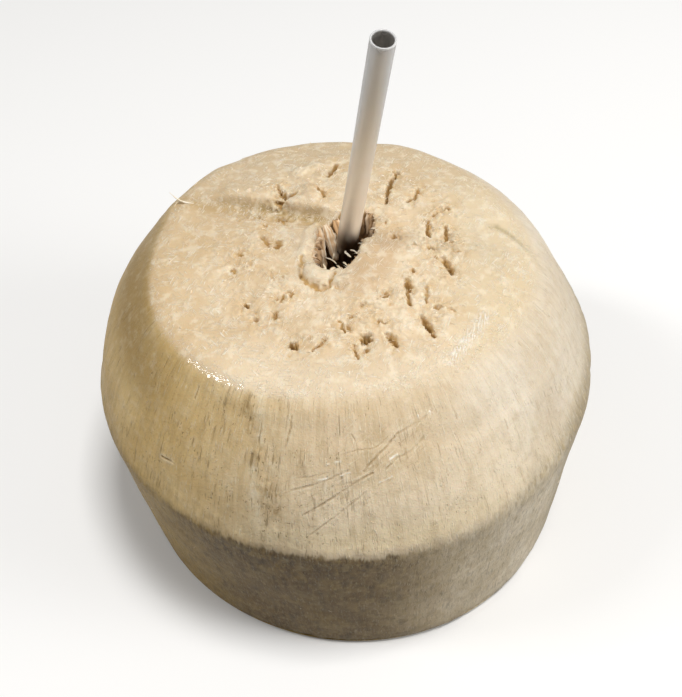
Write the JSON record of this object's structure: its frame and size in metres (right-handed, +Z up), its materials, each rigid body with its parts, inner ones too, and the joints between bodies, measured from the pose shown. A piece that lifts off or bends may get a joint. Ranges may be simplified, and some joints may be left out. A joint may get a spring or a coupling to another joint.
{
  "type": "drinking coconut with straw",
  "caption": "Trimmed young coconut standing on a flat cut base, with a cut bevelled top and a leaning translucent straw in its drinking hole.",
  "frame": {"origin": "centre of the part's bounding box at the flat cut base, on the surface it stands on", "axes": "+Z up through the coconut; the straw leans towards +X and -Y, which is the front"},
  "size_m": [0.1283, 0.1282, 0.1471],
  "materials": {
    "husk": "fresh-cut young coconut husk, pale cream, fibrous, matt with a moist sheen",
    "straw": "frosted translucent polypropylene"
  },
  "bodies": {
    "root": {"coconut": "husk", "drinking_straw": "straw"}
  },
  "joints": []
}
